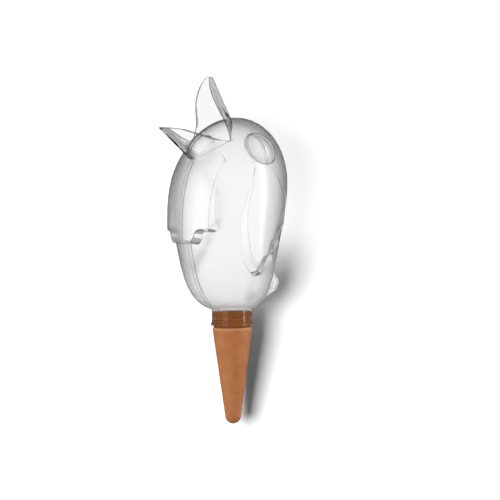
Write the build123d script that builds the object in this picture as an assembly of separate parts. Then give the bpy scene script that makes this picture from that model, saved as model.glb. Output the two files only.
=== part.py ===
from build123d import *
import os
from math import asin, atan2, cos, hypot, pi, radians, sin

# All sizes are in millimetres. The flat top of the clay cone is height zero, the bird faces -Y
# and its left side is +X. Radii are given for everything round. Heights on the bird are above the
# top of its neck, and its side views give the reach from the neck's axis, then the height.

# Clay cone
CONE_TOP_RADIUS = 11.5
CONE_TIP_RADIUS = 4.6
CONE_LENGTH = 56.0
CONE_WALL = 3.2
CONE_EDGE_ROUND = 1.0
SOCKET_RADIUS = 8.0
SOCKET_DEPTH = 10.0

# Neck of the bird
WALL = 1.2
NECK_BORE = 10.5
NECK_LENGTH = 9.2
NECK_BEAD_HEIGHT = 1.6
NECK_BEAD_PROUD = 0.5
NECK_BEAD_ROUND = 0.45

# Sealing plug
FIT_CLEARANCE = 0.03
FLANGE_THICKNESS = 1.2
FLANGE_SETBACK = 1.1
PLUG_BORE = 5.5
RING_PROUD = 0.8
RING_FOOT = 1.9
RING_CREST = 0.9
RING_FROM_END = 2.3
SPIGOT_GAP = 1.0
SPIGOT_LEAD_IN = 0.6

# Egg of the body
BELLY_RADIUS = 33.1
BELLY_RISE = 69.6
CROWN_RISE = 41.1
BASE_FLARE = (29.5, 6.8)
BASE_TAPER = (24.5, 29.0)
BELLY_DROP = 28.0
CROWN_LEAN = 4.2
BELLY_LEAN = 4.0
LEAN_POWER = 0.7
FLATNESS = 0.045
LOWER_STATIONS = (0.06, 0.13, 0.22, 0.34, 0.48, 0.64, 0.82)
UPPER_STATIONS = (0, 15, 30, 44, 57, 68, 77, 84)

# Bib under the beak
BIB_TOP = 90.6
BIB_BOTTOM = 37.2
BIB_RAISE = 6.3
BIB_SIDE_RAISE = 2.0
BIB_HALF_WIDTH = 19.2
BIB_TOP_FLARE = 1.0
BIB_LOBE_HALF_WIDTH = 11.5
BIB_LOBE_DROP = 7.4
BIB_CORNER = 2.2
BIB_LOBE_CORNER = 3.6
BIB_ROOT_DEPTH = 11.0
BIB_DRAFT = 8.0

# Wing, in side view with reach to the back
WING_TOP = 83.6
WING_RAISE = 4.2
WING_LEAD = ((2.0, 87.6), (-11.5, 74.6), (-15.2, 49.6), (-11.3, 30.1), (-4.8, 21.1))
WING_FEATHERS = (
    (-0.6, 27.3), (3.4, 28.9), (4.4, 35.1), (8.4, 37.7), (9.6, 44.6), (15.0, 49.1), (17.0, 65.6)
)
WING_LEAD_SLOPE = 0.65
WING_TIP_SLOPE = (0.32, 0.26)
WING_EDGE_DEPTH = 3.1
WING_ROOT_DEPTH = 15.0

# Eye
EYE_RADIUS = 12.6
EYE_BASE_RADIUS = 9.3
EYE_HEIGHT = 92.8
EYE_BACK = 0.5
EYE_TILT = 27.0

# Tail, in side view with reach to the front
TAIL_OUTLINE = ((-16.0, 35.1), (-34.0, 15.1), (-31.5, 10.1), (-16.0, 3.1))
TAIL_HALF_WIDTH = 5.0
TAIL_ROUND = 2.5

# Beak, in side view with reach to the front
LOWER_TIP = (54.3, 104.6)
LOWER_KEEL = (30.2, 86.9)
LOWER_DEPTH = 19.2
LOWER_HALF_WIDTH = 18.5
LOWER_ROOT = 39.5
LOWER_DEPTH_POWER = 0.8
LOWER_EDGE = ((58.0, 104.4), (47.5, 104.9), (37.4, 102.6), (26.5, 99.1), (17.0, 97.1))
UPPER_TIP = (14.3, 136.6)
UPPER_SPINE = (0.6, 111.0)
UPPER_DEPTH = 22.6
UPPER_HALF_WIDTH = 18.6
UPPER_ROOT = 37.0
UPPER_DEPTH_POWER = 0.5
UPPER_EDGE = ((14.2, 99.8), (14.6, 106.6), (17.0, 113.6), (19.5, 124.6), (16.0, 133.5), (9.5, 131.1))
UPPER_FOOT = 96.6
MOUTH_CORNER = (14.3, 96.8)
BEAK_WIDTH_POWER = 0.75
BEAK_STATIONS = (0.02, 0.1, 0.25, 0.45, 0.7, 1.0)
BEAK_WALL = 1.1
BEAK_BULGE = 0.1
BEAK_KEEL_FLAT = 0.07
HEEL_LENGTH = 12.0
HEEL_SHIFT = 3.0
HEEL_SHARE = 0.5

# Weld between the two halves
SEAM_HALF_WIDTH = 1.2
SEAM_RIB = 0.8

NECK_RADIUS = NECK_BORE + WALL
NECK_TOP = FLANGE_THICKNESS + NECK_LENGTH
BODY_HEIGHT = BELLY_RISE + CROWN_RISE
BEYOND = 20.0
FAR = 200.0
FOOT = (Align.CENTER, Align.CENTER, Align.MIN)


def turned(outline):
    """A round solid from half an outline drawn as radius and height."""
    return revolve(Plane.XZ * outline, Axis.Z)


def side(sketch, half_width):
    """A plate from a side view with reach to the front, the same to both sides."""
    front_left = Plane(origin=(0, 0, 0), x_dir=(0, -1, 0), z_dir=(-1, 0, 0))
    return extrude(front_left * sketch, half_width, both=True)


def inwards(outline, inset):
    """An outline moved in by the inset."""
    return offset(outline, -inset) if inset else outline


def meridian():
    """Points up the egg's side as mean radius and height, each with its outward direction."""
    lower = Bezier(
        (NECK_RADIUS, 0),
        BASE_FLARE,
        BASE_TAPER,
        (BELLY_RADIUS, BELLY_RISE - BELLY_DROP),
        (BELLY_RADIUS, BELLY_RISE),
    )
    points = [(NECK_RADIUS, 0, 1, 0)]
    for station in LOWER_STATIONS:
        spot = lower @ station
        along = lower % station
        points.append((spot.X, spot.Y, along.Y, -along.X))
    for station in UPPER_STATIONS:
        turn = radians(station)
        out = Vector(cos(turn) / BELLY_RADIUS, sin(turn) / CROWN_RISE).normalized()
        points.append((BELLY_RADIUS * cos(turn), BELLY_RISE + CROWN_RISE * sin(turn), out.X, out.Y))
    return points


def lean(height):
    """How far back of the neck's axis the body's middle stands at a height."""
    share = height / BODY_HEIGHT
    return CROWN_LEAN * share - BELLY_LEAN * sin(pi * share**LEAN_POWER)


def squeeze(height):
    """The share by which the body is deeper and narrower than round at a height."""
    return FLATNESS * sin(pi * height / BODY_HEIGHT)


def level(height):
    """No raise at all."""
    return 0, 0


def body(inset, raised=level):
    """The egg as a solid, its surface moved in by the inset and out by what is raised."""
    sections = []
    for radius, height, out, up in meridian():
        mean = radius - inset * out
        ends, sides = raised(height)
        depth = mean * (1 + squeeze(height)) + ends
        width = mean * (1 - squeeze(height)) + sides
        middle = (0, lean(height), height - inset * up)
        plane = Plane(origin=middle, x_dir=(0, 1, 0), z_dir=(0, 0, 1))
        sections.append(plane * Ellipse(depth, width))
    crown = BODY_HEIGHT - inset + raised(BODY_HEIGHT)[0]
    sections.append(Vertex(0, lean(BODY_HEIGHT), crown))
    return loft(sections)


def bib_raise(height):
    """The bib stands out more the lower it goes, and more at its middle than at its sides."""
    share = (BIB_TOP - height) / (BIB_TOP - BIB_BOTTOM)
    return BIB_RAISE * share, BIB_SIDE_RAISE * share


def bib_prism(inset):
    """The block, standing out to the front, that gives the bib its lobed outline."""
    side_bottom = BIB_BOTTOM + BIB_LOBE_DROP
    left = [
        (BIB_HALF_WIDTH + BIB_TOP_FLARE, BIB_TOP),
        (BIB_HALF_WIDTH, side_bottom),
        (BIB_LOBE_HALF_WIDTH, side_bottom),
        (BIB_LOBE_HALF_WIDTH, BIB_BOTTOM),
    ]
    right = [(-x, z) for x, z in reversed(left)]
    outline = make_face(Polyline(*left, *right, close=True))
    low_to_high = outline.vertices().sort_by(Axis.Y)
    outline = fillet(low_to_high[:2], BIB_LOBE_CORNER)
    steps = outline.vertices().filter_by_position(Axis.Y, side_bottom, side_bottom)
    outline = inwards(fillet(steps, BIB_CORNER), inset)
    root = BELLY_RADIUS - BIB_ROOT_DEPTH
    front = Plane(origin=(0, -root, 0), x_dir=(1, 0, 0), z_dir=(0, -1, 0))
    return extrude(front * outline, BIB_ROOT_DEPTH + BEYOND, taper=BIB_DRAFT)


def wing_raise(height):
    """The wing stands out more the lower it goes."""
    raised = WING_RAISE * (WING_TOP - height) / (WING_TOP - WING_LEAD[-1][1])
    return raised, raised


def wing_outline(out, inset):
    """The wing in side view at a distance out from the bird's middle."""
    under = BELLY_RADIUS - WING_EDGE_DEPTH - out
    lead = [(reach - WING_LEAD_SLOPE * under, height) for reach, height in WING_LEAD[1:-1]]
    tip = (WING_LEAD[-1][0] - WING_TIP_SLOPE[0] * under, WING_LEAD[-1][1] - WING_TIP_SLOPE[1] * under)
    edge = Spline(WING_LEAD[0], *lead, tip, tangents=((-1, 0), (0.75, -0.66)))
    feathers = Polyline(tip, *WING_FEATHERS, WING_LEAD[0])
    return inwards(make_face(edge + feathers), inset)


def wing_prism(inset):
    """The block, standing out to the left, with the sloping leading edge and stepped feathers."""
    faces = []
    for out in (BELLY_RADIUS - WING_ROOT_DEPTH, BELLY_RADIUS + 2 * WING_RAISE):
        plane = Plane(origin=(out, 0, 0), x_dir=(0, 1, 0), z_dir=(1, 0, 0))
        faces.append(plane * wing_outline(out, inset))
    return loft(faces, ruled=True)


def eye(inset):
    """The dome of the left eye."""
    depth = (EYE_RADIUS**2 - EYE_BASE_RADIUS**2) ** 0.5
    rise = (EYE_HEIGHT - BELLY_RISE) / CROWN_RISE
    skin = BELLY_RADIUS * (1 - rise**2) ** 0.5 * (1 - squeeze(EYE_HEIGHT))
    seat = Pos(skin, EYE_BACK, EYE_HEIGHT) * Rot(0, -EYE_TILT, 0) * Pos(-depth, 0, 0)
    return seat * Sphere(EYE_RADIUS - inset)


def tail(inset):
    """The stub of the tail, low at the back."""
    outline = make_face(Polyline(*TAIL_OUTLINE, close=True))
    outline = fillet(outline.vertices().sort_by(Axis.X)[:2], TAIL_ROUND)
    return side(inwards(outline, inset), TAIL_HALF_WIDTH - inset)


def beak_frame(tip, base, hand):
    """The direction from a mandible's tip along its keel, and the one across into its trough."""
    run = Vector(base[0] - tip[0], base[1] - tip[1]).normalized()
    return Vector(0, -run.X, run.Y), Vector(0, hand * run.Y, hand * run.X)


def trough(plane, width, depth):
    """A V-shaped section with slightly round sides and a narrow flat keel."""
    flat = BEAK_KEEL_FLAT * width
    middle = ((width + flat) / 2 + BEAK_BULGE * width, depth / 2 - BEAK_BULGE * depth)
    wall = ThreePointArc((flat, 0), middle, (width, depth))
    other = ThreePointArc((-flat, 0), (-middle[0], middle[1]), (-width, depth))
    lid = Line((width, depth), (-width, depth))
    keel = Line((-flat, 0), (flat, 0))
    return plane * make_face(wall + lid + other + keel)


def mandible(tip, base, hand, root, half_width, depth, depth_power):
    """Half of the beak as a filled trough, from its tip, along its keel, into the head."""
    along, across = beak_frame(tip, base, hand)
    origin = Vector(0, -tip[0], tip[1])
    sideways = across.cross(along)
    sections = []
    for share in BEAK_STATIONS:
        plane = Plane(origin=origin + along * (share * root), x_dir=sideways, z_dir=along)
        width = half_width * share**BEAK_WIDTH_POWER
        sections.append(trough(plane, width, depth * share**depth_power))
    heel_end = origin + along * (root + HEEL_LENGTH) + across * HEEL_SHIFT
    inside = Plane(origin=heel_end, x_dir=sideways, z_dir=along)
    heel = loft([sections[-1], trough(inside, half_width * HEEL_SHARE, depth * HEEL_SHARE)], ruled=True)
    return loft(sections) + heel


def lower_beak():
    """The lower mandible."""
    return mandible(
        LOWER_TIP, LOWER_KEEL, -1, LOWER_ROOT, LOWER_HALF_WIDTH, LOWER_DEPTH, LOWER_DEPTH_POWER
    )


def upper_beak():
    """The upper mandible, which ends at the corners of the mouth."""
    beak = mandible(
        UPPER_TIP, UPPER_SPINE, 1, UPPER_ROOT, UPPER_HALF_WIDTH, UPPER_DEPTH, UPPER_DEPTH_POWER
    )
    return beak & (Pos(0, 0, UPPER_FOOT) * Box(FAR, FAR, FAR, align=FOOT))


def gullet(beak, across, half_width, depth):
    """What a mandible has inside a wall of even thickness, found by moving it to its open side."""
    step = BEAK_WALL / sin(atan2(half_width, depth))
    return beak & (Pos(*(across * step)) * beak)


def open_air():
    """The space in front of the beak's free edges, which opens the mouth."""
    lower_edge = Spline(*LOWER_EDGE)
    upper_edge = Spline(*UPPER_EDGE)
    notch = Bezier(LOWER_EDGE[-1], MOUTH_CORNER, UPPER_EDGE[0])
    corners = ((UPPER_EDGE[-1][0], FAR), (FAR, FAR), (FAR, LOWER_EDGE[0][1]))
    around = Polyline(UPPER_EDGE[-1], *corners, LOWER_EDGE[0])
    return side(make_face(lower_edge + notch + upper_edge + around), FAR)


def trunk(inset):
    """The egg with the bib and tail, which lie on its middle plane."""
    return body(inset) + (body(inset, bib_raise) & bib_prism(inset)) + tail(inset)


def left_side(inset):
    """The left wing and eye."""
    return (body(inset, wing_raise) & wing_prism(inset)) + eye(inset)


def neck():
    """The clear sleeve under the body, with a bead round its open end."""
    sleeve = Cylinder(NECK_RADIUS, NECK_LENGTH + WALL, align=FOOT)
    bead = Cylinder(NECK_RADIUS + NECK_BEAD_PROUD, NECK_BEAD_HEIGHT, align=FOOT)
    return Pos(0, 0, -NECK_LENGTH) * (sleeve + fillet(bead.edges(), NECK_BEAD_ROUND))


def neck_bore():
    """The way down through the neck."""
    return Pos(0, 0, -NECK_LENGTH - WALL) * Cylinder(NECK_BORE, NECK_LENGTH + 3 * WALL, align=FOOT)


def hollow():
    """The left half's inside, kept off the weld."""
    beside_weld = Plane(origin=(SEAM_HALF_WIDTH, 0, 0), z_dir=(1, 0, 0))
    return split(trunk(WALL) + left_side(WALL), bisect_by=beside_weld, keep=Keep.TOP)


def weld_hollow():
    """The narrower inside along the weld, which leaves a rib standing on both halves."""
    return trunk(WALL + SEAM_RIB) & Box(2 * (SEAM_HALF_WIDTH + WALL), 2 * FAR, 2 * FAR)


def left_shell():
    """The bird's left half: half the egg, beak, bib, tail and neck, with its eye and wing."""
    bird = trunk(0) + left_side(0) + lower_beak() + upper_beak() + neck()
    shell = split(bird, bisect_by=Plane.YZ, keep=Keep.TOP)
    shell = shell - hollow() - weld_hollow() - neck_bore()
    lower_in = beak_frame(LOWER_TIP, LOWER_KEEL, -1)[1]
    upper_in = beak_frame(UPPER_TIP, UPPER_SPINE, 1)[1]
    shell -= gullet(lower_beak(), lower_in, LOWER_HALF_WIDTH, LOWER_DEPTH)
    shell -= gullet(upper_beak(), upper_in, UPPER_HALF_WIDTH, UPPER_DEPTH)
    return Pos(0, 0, NECK_TOP) * (shell - open_air())


def clay_outline(top_radius, tip_radius, centre):
    """Half the outline of a cone with a round tip: its slope meets the tip without a break."""
    slope = atan2(top_radius, -centre) - asin(tip_radius / hypot(top_radius, centre))
    touch = (tip_radius * cos(slope), centre - tip_radius * sin(slope))
    half_turn = (pi / 2 - slope) / 2
    middle = (tip_radius * sin(half_turn), centre - tip_radius * cos(half_turn))
    edge = Polyline((0, centre - tip_radius), (0, 0), (top_radius, 0), touch)
    return make_face(edge + ThreePointArc(touch, middle, (0, centre - tip_radius)))


def clay_cone():
    """The porous clay cone, hollow below the socket that holds the plug."""
    centre = CONE_TIP_RADIUS - CONE_LENGTH
    outline = clay_outline(CONE_TOP_RADIUS, CONE_TIP_RADIUS, centre)
    rim = outline.vertices().sort_by(Axis.X)[-1]
    cone = turned(fillet(rim, CONE_EDGE_ROUND))
    inner = turned(clay_outline(CONE_TOP_RADIUS - CONE_WALL, CONE_TIP_RADIUS - CONE_WALL, centre))
    socket_floor = Pos(0, 0, -SOCKET_DEPTH)
    inner -= socket_floor * Cylinder(CONE_TOP_RADIUS, SOCKET_DEPTH, align=FOOT)
    return cone - inner - socket_floor * Cylinder(SOCKET_RADIUS, SOCKET_DEPTH, align=FOOT)


def ringed_spigot(fit_radius, length):
    """A bored spigot standing on height zero, with two rings that reach the fit radius."""
    stem = fit_radius - RING_PROUD
    points = [(PLUG_BORE, 0), (stem, 0)]
    for height in (RING_FROM_END, length - RING_FROM_END):
        points += [(stem, height - RING_FOOT / 2), (fit_radius, height - RING_CREST / 2)]
        points += [(fit_radius, height + RING_CREST / 2), (stem, height + RING_FOOT / 2)]
    points += [(stem, length - SPIGOT_LEAD_IN), (stem - SPIGOT_LEAD_IN, length), (PLUG_BORE, length)]
    return turned(make_face(Polyline(*points, close=True)))


def seal_plug():
    """The soft plug that joins the bird's neck to the cone and lets water through."""
    flange = Cylinder(NECK_RADIUS - FLANGE_SETBACK, FLANGE_THICKNESS, align=FOOT)
    flange -= Cylinder(PLUG_BORE, 2 * FLANGE_THICKNESS)
    upper = ringed_spigot(NECK_BORE - FIT_CLEARANCE, NECK_LENGTH - SPIGOT_GAP)
    lower = ringed_spigot(SOCKET_RADIUS - FIT_CLEARANCE, SOCKET_DEPTH - SPIGOT_GAP)
    return flange + Pos(0, 0, FLANGE_THICKNESS) * upper + Rot(180, 0, 0) * lower


if __name__ == "__main__":
    os.makedirs("parts", exist_ok=True)
    left = left_shell()
    parts = {
        "left_shell": left,
        "right_shell": mirror(left, about=Plane.YZ),
        "seal_plug": seal_plug(),
        "clay_cone": clay_cone(),
    }
    for name, shape in parts.items():
        print(name, shape.is_valid, len(shape.solids()), round(shape.volume, 1))
        export_step(shape, f"parts/{name}.step")
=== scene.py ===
"""Looks for a clear watering bird on a clay cone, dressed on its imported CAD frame.

Lengths are metres in the frame's own axes: the flat top of the clay cone is height zero, the bird
faces -Y and its left side is +X.
"""

import logging
import math
from dataclasses import dataclass, field
from enum import Enum

import bmesh
import bpy
from mathutils import Matrix, Vector


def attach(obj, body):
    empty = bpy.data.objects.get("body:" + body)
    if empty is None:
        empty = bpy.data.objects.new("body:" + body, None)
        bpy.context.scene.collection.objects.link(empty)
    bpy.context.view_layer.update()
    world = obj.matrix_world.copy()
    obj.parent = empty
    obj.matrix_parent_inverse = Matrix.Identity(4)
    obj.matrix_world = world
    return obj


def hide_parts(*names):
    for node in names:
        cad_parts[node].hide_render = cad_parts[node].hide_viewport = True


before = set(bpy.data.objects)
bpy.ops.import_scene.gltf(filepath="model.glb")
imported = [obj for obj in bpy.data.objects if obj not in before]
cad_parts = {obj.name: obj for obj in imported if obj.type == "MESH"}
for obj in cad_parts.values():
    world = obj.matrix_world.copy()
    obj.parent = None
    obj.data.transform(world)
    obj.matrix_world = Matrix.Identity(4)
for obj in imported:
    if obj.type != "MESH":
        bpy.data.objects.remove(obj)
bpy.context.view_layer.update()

LOG = logging.getLogger("watering_bird")
Colour = tuple[float, float, float]
Point = tuple[float, float, float]
Size = tuple[float, float]
Span = tuple[float, float]
SidePoint = tuple[float, float]

WHITE = (1.0, 1.0, 1.0, 1.0)
# The Layer Weight blend at which Facing is one less the cosine of the viewing angle.
PLAIN_FACING = 0.5
# Points of one CAD solid closer than this are the same point.
SAME_POINT = 2e-6


class Body(Enum):
    """The rigid bodies of the frame."""

    SPIKE = "spike"
    PLUG = "plug"
    RESERVOIR = "reservoir"


class Slot(Enum):
    """The record's material slots."""

    PLASTIC = "clear_plastic"
    RUBBER = "amber_rubber"
    CLAY = "fired_clay"


class Use(Enum):
    """What a lamp is for: light on surfaces, or a reflection in glossy ones."""

    LIGHT = "light"
    SHINE = "shine"


class Skin(Enum):
    """The parts of the bird's skin, numbered as its materials."""

    HAZY = 0
    BEAK = 1
    EYE = 2
    STEP = 3
    NECK = 4
    CONTACT = 5


class Wiring:
    """Adds nodes to one node tree and joins their sockets."""

    def __init__(self, tree: bpy.types.NodeTree) -> None:
        """Keeps the tree.

        Args:
            tree: The shader or geometry tree to fill.
        """
        self.tree = tree

    def node(self, kind: str, values: dict | None = None, **settings: object) -> bpy.types.Node:
        """Adds a node.

        Args:
            kind: Blender's name of the node type.
            values: Input socket names or numbers with a plain value or a socket to join.
            settings: Attributes of the node, such as an operation.

        Returns:
            The new node.
        """
        made = self.tree.nodes.new(kind)
        for name, value in settings.items():
            setattr(made, name, value)
        for name, value in (values or {}).items():
            self.feed(made.inputs[name], value)
        return made

    def feed(self, socket: bpy.types.NodeSocket, value: object) -> None:
        """Sets a socket to a plain value, or joins it to another socket.

        Args:
            socket: The input socket.
            value: A plain value or an output socket.
        """
        if isinstance(value, bpy.types.NodeSocket):
            self.tree.links.new(value, socket)
        else:
            socket.default_value = value

    def maths(self, operation: str, *values: object, clamp: bool = False) -> bpy.types.NodeSocket:
        """One sum on numbers.

        Args:
            operation: Blender's name of the operation.
            values: Plain numbers or sockets, in order.
            clamp: Whether the result stays from 0 to 1.

        Returns:
            The socket with the result.
        """
        numbered = dict(enumerate(values))
        return self.node("ShaderNodeMath", numbered, operation=operation, use_clamp=clamp).outputs[0]

    def step(self, value: object, low: float, high: float) -> bpy.types.NodeSocket:
        """A smooth step between two levels, of which either may be the larger.

        Args:
            value: The number or socket to judge.
            low: Where the step is 0.
            high: Where the step is 1.

        Returns:
            The socket with the step.
        """
        names = {"Value": value, "From Min": low, "From Max": high}
        ramp = self.node("ShaderNodeMapRange", names, interpolation_type="SMOOTHSTEP")
        return ramp.outputs["Result"]

    def bump(self, height: bpy.types.NodeSocket, strength: float, depth: float) -> bpy.types.NodeSocket:
        """Raises a surface in relief.

        Args:
            height: The socket with the relief, from 0 to 1.
            strength: How much of the relief shows.
            depth: The relief's full height.

        Returns:
            The socket with the bumped normal.
        """
        values = {"Strength": strength, "Distance": depth, "Height": height}
        return self.node("ShaderNodeBump", values).outputs["Normal"]

    def blend(self, share: object, first: object, second: object) -> bpy.types.NodeSocket:
        """Mixes two colours.

        Args:
            share: How much of the second colour shows.
            first: A colour or a socket.
            second: A colour or a socket.

        Returns:
            The socket with the mixed colour.
        """
        # A mix node's colour sockets are its inputs 6 and 7 and its output 2.
        mix = self.node("ShaderNodeMix", data_type="RGBA")
        self.feed(mix.inputs["Factor"], share)
        for socket, colour in zip(mix.inputs[6:8], (first, second)):
            self.feed(socket, (*colour, 1.0) if isinstance(colour, tuple) else colour)
        return mix.outputs[2]


@dataclass(frozen=True)
class SurfaceGrain:
    """A node group of soft mottling, fine grain and pores, shared by all the finishes."""

    name: str = "surface_grain"
    mottle_detail: float = 4.0
    mottle_roughness: float = 0.6
    grain_detail: float = 3.0
    grain_roughness: float = 0.7
    pore_rim: float = 0.32
    pore_floor: float = 0.08

    def tree(self) -> bpy.types.NodeTree:
        """Builds the group once.

        Returns:
            The shader node group, with outputs Mottle, Grain and Pores from 0 to 1.
        """
        made = bpy.data.node_groups.get(self.name)
        if made:
            return made
        made = bpy.data.node_groups.new(self.name, "ShaderNodeTree")
        sockets = made.interface
        sockets.new_socket("Vector", in_out="INPUT", socket_type="NodeSocketVector")
        for name in ("Mottle Scale", "Grain Scale", "Pore Scale"):
            sockets.new_socket(name, in_out="INPUT", socket_type="NodeSocketFloat")
        for name in ("Mottle", "Grain", "Pores"):
            sockets.new_socket(name, in_out="OUTPUT", socket_type="NodeSocketFloat")
        wire = Wiring(made)
        given = wire.node("NodeGroupInput").outputs
        put_out = wire.node("NodeGroupOutput")
        where = given["Vector"]
        noises = (
            ("Mottle", self.mottle_detail, self.mottle_roughness),
            ("Grain", self.grain_detail, self.grain_roughness),
        )
        for name, detail, roughness in noises:
            values = {"Vector": where, "Scale": given[f"{name} Scale"]}
            noise = wire.node("ShaderNodeTexNoise", values | {"Detail": detail, "Roughness": roughness})
            wire.feed(put_out.inputs[name], noise.outputs[0])
        pores = wire.node("ShaderNodeTexVoronoi", {"Vector": where, "Scale": given["Pore Scale"]})
        pitted = wire.step(pores.outputs["Distance"], self.pore_rim, self.pore_floor)
        wire.feed(put_out.inputs["Pores"], pitted)
        return made

    def place(self, wire: Wiring, mottle: float, grain: float, pores: float) -> bpy.types.Node:
        """Puts the group into a material, on Object coordinates.

        Args:
            wire: The material's wiring.
            mottle: Patches per metre.
            grain: Grains per metre.
            pores: Pores per metre.

        Returns:
            The group's node.
        """
        where = wire.node("ShaderNodeTexCoord").outputs["Object"]
        made = wire.node("ShaderNodeGroup", node_tree=self.tree())
        scales = {"Vector": where, "Mottle Scale": mottle, "Grain Scale": grain, "Pore Scale": pores}
        for name, value in scales.items():
            wire.feed(made.inputs[name], value)
        return made


@dataclass(frozen=True)
class CreaseLines:
    """A node group that marks moulded creases, where a surface turns sharply within a short reach."""

    name: str = "crease_lines"
    rays: int = 4
    faint_match: float = 0.985
    full_match: float = 0.85

    def tree(self) -> bpy.types.NodeTree:
        """Builds the group once.

        Returns:
            The shader node group, with the output Mask from 0 to 1.
        """
        made = bpy.data.node_groups.get(self.name)
        if made:
            return made
        made = bpy.data.node_groups.new(self.name, "ShaderNodeTree")
        made.interface.new_socket("Reach", in_out="INPUT", socket_type="NodeSocketFloat")
        made.interface.new_socket("Mask", in_out="OUTPUT", socket_type="NodeSocketFloat")
        wire = Wiring(made)
        reach = wire.node("NodeGroupInput").outputs["Reach"]
        rounded = wire.node("ShaderNodeBevel", {"Radius": reach}, samples=self.rays).outputs[0]
        plain = wire.node("ShaderNodeNewGeometry").outputs["Normal"]
        match = wire.node("ShaderNodeVectorMath", {0: rounded, 1: plain}, operation="DOT_PRODUCT")
        likeness = wire.maths("ABSOLUTE", match.outputs["Value"])
        mask = wire.step(likeness, self.faint_match, self.full_match)
        wire.feed(wire.node("NodeGroupOutput").inputs["Mask"], mask)
        return made

    def place(self, wire: Wiring, reach: float) -> bpy.types.NodeSocket:
        """Puts the group into a material.

        Args:
            wire: The material's wiring.
            reach: How far to either side of a crease its line goes.

        Returns:
            The mask's socket.
        """
        made = wire.node("ShaderNodeGroup", node_tree=self.tree())
        wire.feed(made.inputs["Reach"], reach)
        return made.outputs["Mask"]


def new_material(name: str) -> tuple[bpy.types.Material, Wiring, bpy.types.Node]:
    """Makes an empty material.

    Args:
        name: The material's name.

    Returns:
        The material, the wiring of its tree and its output node.
    """
    material = bpy.data.materials.new(name)
    material.use_nodes = True
    material.node_tree.nodes.clear()
    wire = Wiring(material.node_tree)
    return material, wire, wire.node("ShaderNodeOutputMaterial")


def folded(wire: Wiring, place: bpy.types.NodeOutputs) -> bpy.types.NodeSocket:
    """Folds the bird's right side onto its left.

    Args:
        wire: The material's wiring.
        place: The X, Y and Z sockets of the shaded point.

    Returns:
        The socket with the point on the left side.
    """
    left = wire.maths("ABSOLUTE", place["X"])
    return wire.node("ShaderNodeCombineXYZ", {0: left, 1: place["Y"], 2: place["Z"]}).outputs[0]


@dataclass(frozen=True)
class KeelBand:
    """Painted shade on the solid foot of a mandible's trough, an even band along its keel in side view."""

    tip: SidePoint
    root: SidePoint
    hand: int
    width: float
    colour: Colour
    softness: float = 0.2

    def inward(self) -> SidePoint:
        """The direction in side view from the keel into the trough."""
        run = Vector((self.root[0] - self.tip[0], self.root[1] - self.tip[1])).normalized()
        return -self.hand * run[1], self.hand * run[0]

    def depth(self, spot: Vector) -> float:
        """How far a spot lies inward of the keel."""
        inward = self.inward()
        return (spot.y - self.tip[0]) * inward[0] + (spot.z - self.tip[1]) * inward[1]

    def mask(self, wire: Wiring, place: bpy.types.NodeOutputs) -> bpy.types.NodeSocket:
        """Marks the band.

        Args:
            wire: The material's wiring.
            place: The X, Y and Z sockets of the shaded point.

        Returns:
            The socket with 1 in the band and 0 off it.
        """
        inward = self.inward()
        depth = wire.maths("MULTIPLY_ADD", place["Y"], inward[0], self.depth(Vector((0.0, 0.0, 0.0))))
        depth = wire.maths("MULTIPLY_ADD", place["Z"], inward[1], depth)
        return wire.step(depth, self.width, (1.0 - self.softness) * self.width)


@dataclass(frozen=True)
class EyeRing:
    """Painted shade on both eyes, from a given angle off their axis out to the crease round their foot."""

    centre: Point
    tilt: float
    from_angle: float
    colour: Colour
    fade: float = 1.5

    def mask(self, wire: Wiring, place: bpy.types.NodeOutputs) -> bpy.types.NodeSocket:
        """Marks the ring.

        Args:
            wire: The material's wiring.
            place: The X, Y and Z sockets of the shaded point.

        Returns:
            The socket with 1 on the ring and 0 off it.
        """
        rise = math.radians(self.tilt)
        axis = (math.cos(rise), 0.0, math.sin(rise))
        spot = folded(wire, place)
        out = wire.node("ShaderNodeVectorMath", {0: spot, 1: self.centre}, operation="SUBTRACT")
        way = wire.node("ShaderNodeVectorMath", {0: out.outputs[0]}, operation="NORMALIZE")
        turn = wire.node("ShaderNodeVectorMath", {0: way.outputs[0], 1: axis}, operation="DOT_PRODUCT")
        full = math.cos(math.radians(self.from_angle + self.fade))
        return wire.step(turn.outputs["Value"], math.cos(math.radians(self.from_angle)), full)


@dataclass(frozen=True)
class RimBand:
    """The cut free edge of a mandible, a band of painted shade along a curve in side view."""

    runs_along: str
    stands_out: str
    edge: tuple[SidePoint, ...]
    width: float = 0.0012
    colour: Colour = (0.32, 0.32, 0.33)
    softness: float = 0.5

    def mask(self, wire: Wiring, place: bpy.types.NodeOutputs) -> bpy.types.NodeSocket:
        """Marks the band.

        Args:
            wire: The material's wiring.
            place: The X, Y and Z sockets of the shaded point.

        Returns:
            The socket with 1 in the band and 0 off it.
        """
        along = [point[0] for point in self.edge]
        out = [point[1] for point in self.edge]
        share = wire.node(
            "ShaderNodeMapRange",
            {"Value": place[self.runs_along], "From Min": min(along), "From Max": max(along)},
        )
        curve = wire.node("ShaderNodeFloatCurve", {"Value": share.outputs["Result"]})
        points = curve.mapping.curves[0].points
        for _ in self.edge[2:]:
            points.new(0.5, 0.5)
        for point, spot in zip(points, sorted(self.edge)):
            level = (spot[1] - min(out)) / (max(out) - min(out))
            point.location = ((spot[0] - min(along)) / (max(along) - min(along)), level)
        curve.mapping.update()
        edge = wire.maths("MULTIPLY_ADD", curve.outputs["Value"], max(out) - min(out), min(out))
        off_edge = wire.maths("ABSOLUTE", wire.maths("SUBTRACT", edge, place[self.stands_out]))
        return wire.step(off_edge, self.width, (1.0 - self.softness) * self.width)


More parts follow.
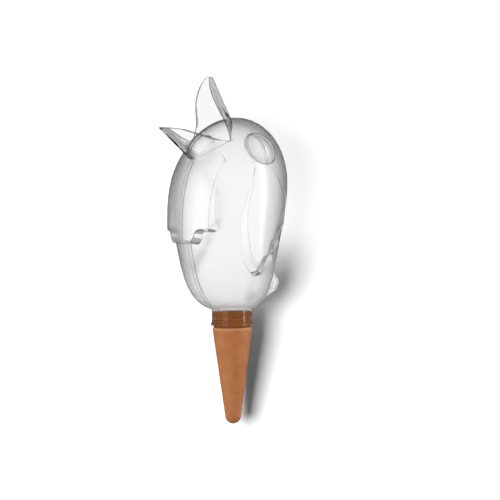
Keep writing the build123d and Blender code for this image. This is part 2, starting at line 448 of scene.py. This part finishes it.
@dataclass(frozen=True)
class SmoothSpot:
    """A round spot on both sides of the bird where a raised edge runs out, free of painted crease shade."""

    centre: Point
    inner: float
    outer: float

    def mask(self, wire: Wiring, place: bpy.types.NodeOutputs) -> bpy.types.NodeSocket:
        """Marks all but the spot.

        Args:
            wire: The material's wiring.
            place: The X, Y and Z sockets of the shaded point.

        Returns:
            The socket with 0 in the spot and 1 off it.
        """
        spot = folded(wire, place)
        away = wire.node("ShaderNodeVectorMath", {0: spot, 1: self.centre}, operation="DISTANCE")
        return wire.step(away.outputs["Value"], self.inner, self.outer)


@dataclass(frozen=True)
class ClearPlastic:
    """Glossy see-through plastic, with painted shade where it is seen edge-on."""

    name: str
    roughness: float
    transmission: float
    face_colour: Colour
    edge_shade_colour: Colour
    coat: float
    bands: tuple[KeelBand | RimBand | EyeRing, ...] = ()
    index: float = 1.5
    lets_light: float = 0.88
    base_lets_light: float = 0.88
    base_painted_light: float = 0.0
    base_top: float = 0.055
    base_foot: float = 0.02
    crease_shade_colour: Colour = (0.42, 0.41, 0.40)
    crease_reach: float = 0.0007
    edge_from: float = 0.1
    edge_full: float = 1.0
    ripple_strength: float = 0.06
    ripple_depth: float = 0.0004
    roughness_spread: float = 0.2
    coat_roughness: float = 0.1
    smooth_spots: tuple[SmoothSpot, ...] = ()

    def material(self) -> bpy.types.Material:
        """Builds the material.

        Returns:
            The finished material.
        """
        material, wire, output = new_material(self.name)
        grain = SurfaceGrain().place(wire, mottle=45.0, grain=700.0, pores=500.0).outputs
        edge_on = wire.node("ShaderNodeLayerWeight", {"Blend": PLAIN_FACING}).outputs["Facing"]
        where = wire.node("ShaderNodeTexCoord").outputs["Object"]
        place = wire.node("ShaderNodeSeparateXYZ", {0: where}).outputs
        low = wire.step(place["Z"], self.base_top, self.base_foot)
        # Painted light: low down most of the edge shade is lifted, so the lower bowl looks lit from below.
        edge_shade_kept = wire.maths("MULTIPLY_ADD", low, -self.base_painted_light, 1.0)
        # Painted shade: the colour darkens towards the edge shade colour where the surface is seen edge-on.
        share = wire.maths("MULTIPLY", wire.step(edge_on, self.edge_from, self.edge_full), edge_shade_kept)
        tint = wire.blend(share, self.face_colour, self.edge_shade_colour)
        # Painted shade: a darker line along every crease, where the real plastic's edges look dark.
        creased = CreaseLines().place(wire, self.crease_reach)
        for spot in self.smooth_spots:
            creased = wire.maths("MULTIPLY", creased, spot.mask(wire, place))
        tint = wire.blend(creased, tint, self.crease_shade_colour)
        # Painted shade: each band darkens its part, the beak's keels and free edges and the eyes.
        for band in self.bands:
            tint = wire.blend(band.mask(wire, place), tint, band.colour)
        ripple = wire.bump(grain["Mottle"], self.ripple_strength, self.ripple_depth)
        spread = self.roughness_spread * self.roughness
        shaded = wire.node("ShaderNodeLightPath").outputs["Is Shadow Ray"]
        base_change = self.base_lets_light - self.lets_light
        lets_light = wire.maths("MULTIPLY_ADD", low, base_change, self.lets_light)
        values = {
            "Base Color": tint,
            "Roughness": wire.maths("MULTIPLY_ADD", grain["Mottle"], spread, self.roughness),
            "Alpha": wire.maths("SUBTRACT", 1.0, wire.maths("MULTIPLY", shaded, lets_light)),
            "IOR": self.index,
            "Transmission Weight": self.transmission,
            "Coat Weight": self.coat,
            "Coat Roughness": self.coat_roughness,
            "Normal": ripple,
        }
        shader = wire.node("ShaderNodeBsdfPrincipled", values)
        wire.feed(output.inputs["Surface"], shader.outputs[0])
        return material


BIB_TOP = SmoothSpot((0.0182, -0.0230, 0.0945), inner=0.0055, outer=0.0080)
HAZY_EGG = ClearPlastic(
    "hazy_plastic",
    roughness=0.2,
    transmission=0.968,
    face_colour=(1.0, 1.0, 0.995),
    edge_shade_colour=(0.19, 0.175, 0.16),
    coat=0.2,
    lets_light=0.92,
    smooth_spots=(BIB_TOP,),
    base_lets_light=0.46,
    # Painted light: the lower bowl keeps little of the painted edge shade.
    base_painted_light=0.85,
)
LOWER_KEEL = KeelBand(
    tip=(-0.0543, 0.1150),
    root=(-0.0302, 0.0973),
    hand=1,
    width=0.0029,
    colour=(0.50, 0.49, 0.48),
)
UPPER_KEEL = KeelBand(
    tip=(-0.0143, 0.1470),
    root=(-0.0006, 0.1214),
    hand=-1,
    width=0.0023,
    colour=(0.44, 0.44, 0.45),
)
EYE_CENTRE = (0.01915, 0.0005, 0.09934)
BEAK_BANDS = (
    LOWER_KEEL,
    UPPER_KEEL,
    RimBand(
        runs_along="Y",
        stands_out="Z",
        edge=(
            (-0.058, 0.1148),
            (-0.0475, 0.1153),
            (-0.0374, 0.1130),
            (-0.0265, 0.1095),
            (-0.017, 0.1075),
        ),
    ),
    RimBand(
        runs_along="Z",
        stands_out="Y",
        edge=(
            (0.1102, -0.0142),
            (0.1170, -0.0146),
            (0.1240, -0.0170),
            (0.1350, -0.0195),
            (0.1439, -0.0160),
        ),
    ),
)
CLEAR_BEAK = ClearPlastic(
    "clear_plastic",
    roughness=0.02,
    transmission=1.0,
    face_colour=(0.95, 0.95, 0.95),
    edge_shade_colour=(0.80, 0.79, 0.79),
    coat=0.0,
    bands=BEAK_BANDS,
    index=1.2,
)
CLEAR_NECK = ClearPlastic(
    "neck_plastic",
    roughness=0.05,
    transmission=1.0,
    face_colour=(0.95, 0.95, 0.95),
    edge_shade_colour=(0.62, 0.61, 0.60),
    coat=0.7,
    index=1.2,
)
# Painted shade: the steep faces of the raised steps are coloured darker than the egg.
SHADED_STEPS = ClearPlastic(
    "shaded_step_plastic",
    roughness=0.1,
    transmission=1.0,
    face_colour=(0.50, 0.49, 0.48),
    edge_shade_colour=(0.16, 0.15, 0.14),
    coat=0.1,
    lets_light=0.7,
)
CLEAR_EYE = ClearPlastic(
    "eye_plastic",
    roughness=0.06,
    transmission=1.0,
    face_colour=(0.98, 0.98, 0.975),
    edge_shade_colour=(0.08, 0.075, 0.07),
    coat=0.2,
    # Painted shade: a soft grey over each eye's dome and a darker ring at its foot.
    bands=(
        EyeRing(EYE_CENTRE, tilt=27.0, from_angle=22.0, colour=(0.80, 0.79, 0.78), fade=26.0),
        EyeRing(EYE_CENTRE, tilt=27.0, from_angle=50.0, colour=(0.60, 0.59, 0.58)),
    ),
)


@dataclass(frozen=True)
class WetContact:
    """Where the halves have melted into one, or rubber presses on plastic: no surface is left to see."""

    def material(self) -> bpy.types.Material:
        """Builds the material.

        Returns:
            The finished material.
        """
        material, wire, output = new_material("wet_contact")
        shader = wire.node("ShaderNodeBsdfPrincipled", {"Alpha": 0.0})
        wire.feed(output.inputs["Surface"], shader.outputs[0])
        return material


@dataclass(frozen=True)
class AmberRubber:
    """Smooth orange-brown rubber with a soft sheen."""

    light: Colour = (0.205, 0.058, 0.007)
    dark: Colour = (0.134, 0.035, 0.004)
    roughness: float = 0.22
    roughness_spread: float = 0.14
    shine: float = 0.25
    bump_strength: float = 0.1
    bump_depth: float = 0.0001

    def material(self) -> bpy.types.Material:
        """Builds the material.

        Returns:
            The finished material.
        """
        material, wire, output = new_material("amber_rubber")
        grain = SurfaceGrain().place(wire, mottle=160.0, grain=2500.0, pores=900.0).outputs
        values = {
            "Base Color": wire.blend(grain["Mottle"], self.dark, self.light),
            "Roughness": wire.maths("MULTIPLY_ADD", grain["Grain"], self.roughness_spread, self.roughness),
            "Specular IOR Level": self.shine,
            "Normal": wire.bump(grain["Grain"], self.bump_strength, self.bump_depth),
        }
        shader = wire.node("ShaderNodeBsdfPrincipled", values)
        wire.feed(output.inputs["Surface"], shader.outputs[0])
        return material


@dataclass(frozen=True)
class FiredClay:
    """Unglazed clay: warm, matte, mottled, with fine grain, pale dust, a paler rim and painted shade in
    pores.
    """

    light: Colour = (0.48, 0.183, 0.071)
    dark: Colour = (0.40, 0.146, 0.054)
    dust: Colour = (0.545, 0.272, 0.144)
    mottle_levels: Span = (0.3, 0.7)
    dust_levels: Span = (0.52, 0.85)
    pore_shade: float = 0.35
    rim_paleness: float = 0.7
    rim_heights: Span = (-0.0024, -0.0006)
    roughness: float = 0.8
    roughness_spread: float = 0.15
    shine: float = 0.25
    sheen: float = 0.1
    bump_strength: float = 0.35
    bump_depth: float = 0.0002

    def material(self) -> bpy.types.Material:
        """Builds the material.

        Returns:
            The finished material.
        """
        material, wire, output = new_material("fired_clay")
        grain = SurfaceGrain().place(wire, mottle=150.0, grain=2200.0, pores=1100.0).outputs
        body = wire.blend(wire.step(grain["Mottle"], *self.mottle_levels), self.dark, self.light)
        dusted = wire.blend(wire.step(grain["Grain"], *self.dust_levels), body, self.dust)
        # Painted shade: the pores are darkened towards the dark clay colour.
        pitted = wire.blend(wire.maths("MULTIPLY", grain["Pores"], self.pore_shade), dusted, self.dark)
        where = wire.node("ShaderNodeTexCoord").outputs["Object"]
        height = wire.node("ShaderNodeSeparateXYZ", {0: where}).outputs["Z"]
        # The top rim is made paler, blended towards the dust colour.
        rim = wire.maths("MULTIPLY", wire.step(height, *self.rim_heights), self.rim_paleness)
        relief = wire.maths("SUBTRACT", grain["Grain"], grain["Pores"])
        values = {
            "Base Color": wire.blend(rim, pitted, self.dust),
            "Roughness": wire.maths("MULTIPLY_ADD", grain["Grain"], self.roughness_spread, self.roughness),
            "Specular IOR Level": self.shine,
            "Sheen Weight": self.sheen,
            "Normal": wire.bump(relief, self.bump_strength, self.bump_depth),
        }
        shader = wire.node("ShaderNodeBsdfPrincipled", values)
        wire.feed(output.inputs["Surface"], shader.outputs[0])
        return material


@dataclass(frozen=True)
class StudioPaper:
    """White paper that takes shadows, stays white through plastic and vanishes from behind or edge-on."""

    shown: float = 1.24
    through: float = 1.0
    fades: Span = (0.6, 0.75)

    def material(self, name: str) -> bpy.types.Material:
        """Builds the material.

        Args:
            name: The material's name.

        Returns:
            The finished material.
        """
        material, wire, output = new_material(name)
        path = wire.node("ShaderNodeLightPath").outputs
        behind = wire.node("ShaderNodeNewGeometry").outputs["Backfacing"]
        edge_on = wire.node("ShaderNodeLayerWeight", {"Blend": PLAIN_FACING}).outputs["Facing"]
        hidden = wire.maths("MAXIMUM", behind, wire.step(edge_on, *self.fades))
        paper = wire.node("ShaderNodeBsdfDiffuse", {"Color": (*[self.shown] * 3, 1.0)}).outputs[0]
        glow = wire.node("ShaderNodeEmission", {"Color": WHITE, "Strength": self.through}).outputs[0]
        clear = wire.node("ShaderNodeBsdfTransparent").outputs[0]
        front = wire.node("ShaderNodeMixShader", {0: path["Is Transmission Ray"], 1: paper, 2: glow})
        both = wire.node("ShaderNodeMixShader", {0: hidden, 1: front.outputs[0], 2: clear})
        wire.feed(output.inputs["Surface"], both.outputs[0])
        return material


@dataclass(frozen=True)
class ClayGrit:
    """Fine grains of fired grit that stand out of the clay, strewn by a Geometry Nodes tree."""

    grains_per_area: float = 900000.0
    grain_radius: float = 0.00011
    grain_sizes: Span = (0.4, 1.3)
    seed: int = 7
    lowest: float = -0.0552
    highest: float = -0.0012

    def tree(self) -> bpy.types.NodeTree:
        """Builds the tree.

        Returns:
            The geometry node tree, with inputs for the surface, the grains and their material.
        """
        made = bpy.data.node_groups.new("clay_grit", "GeometryNodeTree")
        for name, kind in (
            ("Geometry", "NodeSocketGeometry"),
            ("Grains per Area", "NodeSocketFloat"),
            ("Grain Radius", "NodeSocketFloat"),
            ("Seed", "NodeSocketInt"),
            ("Material", "NodeSocketMaterial"),
        ):
            made.interface.new_socket(name, in_out="INPUT", socket_type=kind)
        made.interface.new_socket("Geometry", in_out="OUTPUT", socket_type="NodeSocketGeometry")
        wire = Wiring(made)
        given = wire.node("NodeGroupInput").outputs
        place = wire.node("GeometryNodeInputPosition").outputs[0]
        facing = wire.node("GeometryNodeInputNormal").outputs[0]
        level = wire.node("ShaderNodeVectorMath", {0: place, 1: (1.0, 1.0, 0.0)}, operation="MULTIPLY")
        out = wire.node("ShaderNodeVectorMath", {0: level.outputs[0], 1: facing}, operation="DOT_PRODUCT")
        height = wire.node("ShaderNodeSeparateXYZ", {0: place}).outputs["Z"]
        outside = wire.maths("GREATER_THAN", out.outputs["Value"], 0.0)
        above = wire.maths("GREATER_THAN", height, self.lowest)
        below = wire.maths("LESS_THAN", height, self.highest)
        chosen = wire.maths("MULTIPLY", outside, wire.maths("MULTIPLY", above, below))
        points = wire.node("GeometryNodeDistributePointsOnFaces", {"Mesh": given["Geometry"]})
        wire.feed(points.inputs["Selection"], chosen)
        wire.feed(points.inputs["Density"], given["Grains per Area"])
        wire.feed(points.inputs["Seed"], given["Seed"])
        grain = wire.node("GeometryNodeMeshIcoSphere", {"Subdivisions": 1, "Radius": given["Grain Radius"]})
        size = wire.node("FunctionNodeRandomValue", data_type="FLOAT")
        for name, value in zip(("Min", "Max"), self.grain_sizes):
            next(s for s in size.inputs if s.name == name and s.type == "VALUE").default_value = value
        wire.feed(size.inputs["Seed"], given["Seed"])
        sizes = next(s for s in size.outputs if s.type == "VALUE")
        strewn = wire.node("GeometryNodeInstanceOnPoints", {"Points": points.outputs["Points"]})
        wire.feed(strewn.inputs["Instance"], grain.outputs["Mesh"])
        wire.feed(strewn.inputs["Rotation"], points.outputs["Rotation"])
        wire.feed(strewn.inputs["Scale"], sizes)
        real = wire.node("GeometryNodeRealizeInstances", {"Geometry": strewn.outputs[0]})
        dressed = wire.node("GeometryNodeSetMaterial", {"Geometry": real.outputs[0]})
        wire.feed(dressed.inputs["Material"], given["Material"])
        wire.feed(wire.node("NodeGroupOutput").inputs["Geometry"], dressed.outputs[0])
        return made

    def strew(self, surface: bpy.types.Object, material: bpy.types.Material) -> bpy.types.Object:
        """Strews the grains over a surface.

        Args:
            surface: A closed mesh, which is used up.
            material: The grains' finish.

        Returns:
            The grains as one plain mesh.
        """
        values = {
            "Grains per Area": self.grains_per_area,
            "Grain Radius": self.grain_radius,
            "Seed": self.seed,
            "Material": material,
        }
        modifier = surface.modifiers.new("grit", "NODES")
        modifier.node_group = self.tree()
        for socket in modifier.node_group.interface.items_tree:
            if socket.in_out == "INPUT" and socket.name in values:
                modifier[socket.identifier] = values[socket.name]
        bpy.context.view_layer.update()
        ready = surface.evaluated_get(bpy.context.evaluated_depsgraph_get())
        mesh = bpy.data.meshes.new_from_object(ready)
        bpy.data.objects.remove(surface)
        mesh.name = "clay_grit"
        made = bpy.data.objects.new("clay_grit", mesh)
        bpy.context.scene.collection.objects.link(made)
        return made


def merged_copy(node: str, name: str, crease: float = 28.0) -> bpy.types.Object:
    """Copies a CAD node into a closed mesh with smooth faces between its creases.

    Args:
        node: The CAD node to copy.
        name: The copy's name.
        crease: The angle in degrees above which an edge stays sharp.

    Returns:
        The copy, linked to the scene.
    """
    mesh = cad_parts[node].data.copy()
    mesh.name = name
    shape = bmesh.new()
    shape.from_mesh(mesh)
    bmesh.ops.remove_doubles(shape, verts=shape.verts, dist=SAME_POINT)
    bmesh.ops.recalc_face_normals(shape, faces=shape.faces)
    shape.to_mesh(mesh)
    shape.free()
    if "custom_normal" in mesh.attributes:
        mesh.attributes.remove(mesh.attributes["custom_normal"])
    mesh.shade_smooth()
    mesh.set_sharp_from_angle(angle=math.radians(crease))
    mesh.materials.clear()
    made = bpy.data.objects.new(name, mesh)
    bpy.context.scene.collection.objects.link(made)
    return made


def dress(node: str, material: bpy.types.Material) -> None:
    """Gives a CAD node a material in place of its plain one.

    Args:
        node: The node's name.
        material: The new material.
    """
    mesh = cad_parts[node].data
    mesh.materials.clear()
    mesh.materials.append(material)
    LOG.info("%s: %s, %d faces", node, material.name, len(mesh.polygons))


@dataclass
class ClearBird:
    """The two clear half shells of the bird, with no surface left between them at the weld."""

    halves: dict[str, str] = field(
        default_factory=lambda: {"left_shell": "left_skin", "right_shell": "right_skin"}
    )
    weld_reach: float = SAME_POINT
    head_centre: Vector = field(default_factory=lambda: Vector((0.0, 0.0015, 0.080)))
    head_axes: Vector = field(default_factory=lambda: Vector((0.0331, 0.0331, 0.0411)))
    bowl_height: float = 0.052
    bowl_depth: float = 0.0445
    steep: float = 0.55
    steps_below: float = 0.096
    tail_from: float = 0.0185
    tipped: float = 0.4
    beak_from: float = 0.092
    beak_reach: float = 1.05
    keel_slack: float = 0.0005
    eye_centre: Vector = field(default_factory=lambda: Vector(EYE_CENTRE))
    eye_radii: Span = (0.0126, 0.0114)
    eye_slack: float = 0.0001
    neck_top: float = 0.0104

    def egg_outward(self, middle: Vector) -> Vector:
        """The direction in which the plain egg would face.

        Args:
            middle: A spot on the egg or near it.

        Returns:
            The direction, of length one.
        """
        across, tall = self.head_axes.x, self.head_axes.z
        out = Vector((middle.x, middle.y - self.head_centre.y, 0.0)) / across**2
        if middle.z > self.head_centre.z:
            out.z = (middle.z - self.head_centre.z) / tall**2
        elif middle.z < self.bowl_height:
            out.z = (middle.z - self.bowl_height) / self.bowl_depth**2
        return out.normalized()

    def skin_part(self, middle: Vector, outward: Vector) -> Skin:
        """Tells which part of the skin a face belongs to.

        Args:
            middle: The middle of the face.
            outward: The direction it faces.

        Returns:
            The part of the skin.
        """
        if abs(middle.x) < self.weld_reach:
            return Skin.CONTACT
        if middle.z < self.neck_top:
            in_bore = outward.x * middle.x + outward.y * middle.y < 0.0
            return Skin.CONTACT if in_bore else Skin.NECK
        from_eye = (Vector((abs(middle.x), middle.y, middle.z)) - self.eye_centre).length
        if any(abs(from_eye - radius) < self.eye_slack for radius in self.eye_radii):
            return Skin.EYE
        from_head = middle - self.head_centre
        reach = Vector(a / b for a, b in zip(from_head, self.head_axes)).length
        above_keel = LOWER_KEEL.depth(middle) > -self.keel_slack
        if reach > self.beak_reach and middle.z > self.beak_from and above_keel:
            return Skin.BEAK
        in_relief = middle.z < self.steps_below and middle.y < self.tail_from
        steep = abs(self.egg_outward(middle).dot(outward)) < self.steep and abs(outward.z) > self.tipped
        return Skin.STEP if in_relief and steep else Skin.HAZY

    def build(self) -> None:
        """Makes and dresses both halves."""
        finishes = {
            Skin.HAZY: HAZY_EGG,
            Skin.BEAK: CLEAR_BEAK,
            Skin.EYE: CLEAR_EYE,
            Skin.STEP: SHADED_STEPS,
            Skin.NECK: CLEAR_NECK,
            Skin.CONTACT: WetContact(),
        }
        materials = [finishes[part].material() for part in Skin]
        for node, name in self.halves.items():
            skin = merged_copy(node, name)
            for material in materials:
                skin.data.materials.append(material)
            for face in skin.data.polygons:
                face.material_index = self.skin_part(face.center, face.normal).value
            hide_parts(node)
            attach(skin, Body.RESERVOIR.value)
            LOG.info("%s: %d faces", name, len(skin.data.polygons))


@dataclass
class SealPlug:
    """The rubber plug between the neck and the cone."""

    node: str = "seal_plug"
    finish: AmberRubber = field(default_factory=AmberRubber)

    def build(self) -> None:
        """Dresses the plug."""
        dress(self.node, self.finish.material())


@dataclass
class ClayCone:
    """The porous clay cone with its fine grit."""

    node: str = "clay_cone"
    finish: FiredClay = field(default_factory=FiredClay)
    grit: ClayGrit = field(default_factory=ClayGrit)

    def build(self) -> None:
        """Makes and dresses the cone, strews its grit and keeps its colour off the paper."""
        material = self.finish.material()
        cone = merged_copy(self.node, "cone_skin")
        cone.data.materials.append(material)
        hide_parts(self.node)
        grains = self.grit.strew(merged_copy(self.node, "grit_bed"), material)
        for piece in (cone, grains):
            piece.visible_diffuse = False
            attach(piece, Body.SPIKE.value)
            LOG.info("%s: %d faces", piece.name, len(piece.data.polygons))


@dataclass(frozen=True)
class Lamp:
    """A soft oblong lamp that points at the bird.

    It hangs so many degrees to the left of the camera and above level, away from the bird by a
    distance. Its size is width and height, and its power is in watts.
    """

    name: str
    left: float
    rise: float
    away: float
    size: Size
    power: float
    use: Use


LAMPS = (
    Lamp("key_lamp", left=21.0, rise=2.0, away=1.8, size=(0.68, 0.68), power=32.0, use=Use.LIGHT),
    Lamp("left_fill", left=100.0, rise=10.0, away=0.9, size=(0.25, 0.8), power=2.8, use=Use.LIGHT),
    Lamp("right_fill", left=-100.0, rise=10.0, away=0.9, size=(0.25, 0.8), power=10.0, use=Use.LIGHT),
    Lamp("back_fill", left=170.0, rise=35.0, away=1.2, size=(0.8, 0.8), power=7.5, use=Use.LIGHT),
    Lamp("left_strip", left=38.0, rise=6.0, away=0.8, size=(0.45, 0.8), power=1.1, use=Use.SHINE),
    Lamp("right_strip", left=-75.0, rise=10.0, away=0.8, size=(0.16, 0.7), power=1.5, use=Use.SHINE),
)


@dataclass
class Studio:
    """Leaning paper, room light, lamps and camera."""

    azimuth: float = 46.5
    elevation: float = 2.2
    roll: float = 0.7
    distance: float = 1.2
    aim_right: float = 0.0109
    aim_height: float = 0.0445
    metres_per_pixel: float = 0.000578
    image_size: int = 500
    wall_gap: float = 0.035
    wall_slope: float = 0.22
    paper_size: float = 0.36
    room_light: float = 0.065
    shine_light: float = 0.12
    through_light: float = 1.0
    through_dark: float = 0.5
    dims_between: Span = (0.3, 0.75)

    def __post_init__(self) -> None:
        """Works out the level directions to the right of and towards the camera."""
        turn = math.radians(self.azimuth)
        self.right = Vector((math.cos(turn), math.sin(turn), 0.0))
        self.toward = Vector((math.sin(turn), -math.cos(turn), 0.0))
        self.up = Vector((0.0, 0.0, 1.0))

    def backdrop(self) -> None:
        """Leans the paper behind the bird, where it catches the shadow and lights nothing."""
        half = self.paper_size / 2
        leaning = self.up - self.toward * self.wall_slope
        middle = self.right * self.aim_right + leaning * self.aim_height - self.toward * self.wall_gap
        corners = [
            middle + self.right * (half * i) + leaning * (half * j)
            for i, j in ((-1, -1), (1, -1), (1, 1), (-1, 1))
        ]
        mesh = bpy.data.meshes.new("backdrop")
        mesh.from_pydata(corners, [], [(0, 1, 2, 3)])
        mesh.materials.append(StudioPaper().material("backdrop"))
        made = bpy.data.objects.new("backdrop", mesh)
        bpy.context.scene.collection.objects.link(made)
        made.visible_diffuse = False
        made.visible_glossy = False
        made.visible_shadow = False

    def hang(self, lamp: Lamp) -> None:
        """Hangs a lamp.

        Args:
            lamp: What the lamp is like and where it goes.
        """
        turn = math.radians(self.azimuth - lamp.left)
        level = Vector((math.sin(turn), -math.cos(turn), 0.0))
        rising = math.radians(lamp.rise)
        out = level * math.cos(rising) + self.up * math.sin(rising)
        data = bpy.data.lights.new(lamp.name, "AREA")
        data.shape = "RECTANGLE"
        data.size, data.size_y = lamp.size
        data.energy = lamp.power
        made = bpy.data.objects.new(lamp.name, data)
        made.location = self.up * self.aim_height + out * lamp.away
        made.rotation_mode = "QUATERNION"
        made.rotation_quaternion = out.to_track_quat("Z", "Y")
        made.visible_camera = False
        made.visible_transmission = False
        made.visible_glossy = lamp.use is Use.SHINE
        made.visible_diffuse = lamp.use is Use.LIGHT
        bpy.context.scene.collection.objects.link(made)

    def room(self) -> None:
        """Fills the room with even light: white behind, and darker high and low through plastic."""
        world = bpy.data.worlds.new("room")
        world.use_nodes = True
        world.node_tree.nodes.clear()
        wire = Wiring(world.node_tree)
        output = wire.node("ShaderNodeOutputWorld")
        path = wire.node("ShaderNodeLightPath").outputs
        way = wire.node("ShaderNodeTexCoord").outputs["Generated"]
        rise = wire.maths("ABSOLUTE", wire.node("ShaderNodeSeparateXYZ", {0: way}).outputs["Z"])
        off_level = wire.step(rise, *self.dims_between)
        dimming = self.through_dark - self.through_light
        through = wire.maths("MULTIPLY_ADD", off_level, dimming, self.through_light)
        strength: object = self.room_light
        seen = (
            ("Is Glossy Ray", self.shine_light),
            ("Is Transmission Ray", through),
            ("Is Camera Ray", 1.0),
        )
        for ray, value in seen:
            change = wire.maths("SUBTRACT", value, strength)
            strength = wire.maths("MULTIPLY_ADD", path[ray], change, strength)
        light = wire.node("ShaderNodeBackground", {"Color": WHITE, "Strength": strength})
        wire.feed(output.inputs["Surface"], light.outputs[0])
        bpy.context.scene.world = world

    def camera(self) -> None:
        """Sets up the camera at the photograph's viewing angle."""
        rising, rolling = math.radians(self.elevation), math.radians(self.roll)
        back = self.toward * math.cos(rising) + self.up * math.sin(rising)
        level_up = self.up * math.cos(rising) - self.toward * math.sin(rising)
        right = self.right * math.cos(rolling) - level_up * math.sin(rolling)
        above = self.right * math.sin(rolling) + level_up * math.cos(rolling)
        aim = self.right * self.aim_right + self.up * self.aim_height
        data = bpy.data.cameras.new("camera")
        half_view = self.metres_per_pixel * self.image_size / 2
        data.lens = data.sensor_width / 2 * self.distance / half_view
        made = bpy.data.objects.new("camera", data)
        turn = Matrix((right, above, back)).transposed().to_4x4()
        made.matrix_world = Matrix.Translation(aim + back * self.distance) @ turn
        bpy.context.scene.collection.objects.link(made)
        bpy.context.scene.camera = made

    def build(self) -> None:
        """Sets up the whole studio."""
        bpy.context.scene.view_settings.view_transform = "Standard"
        self.backdrop()
        self.room()
        for lamp in LAMPS:
            self.hang(lamp)
        self.camera()


def main() -> None:
    """Builds every piece in order."""
    logging.basicConfig(level=logging.INFO, format="%(name)s: %(message)s")
    for assembly in (ClayCone(), SealPlug(), ClearBird(), Studio()):
        assembly.build()
        LOG.info("%s done", type(assembly).__name__)


if __name__ == "__main__":
    main()
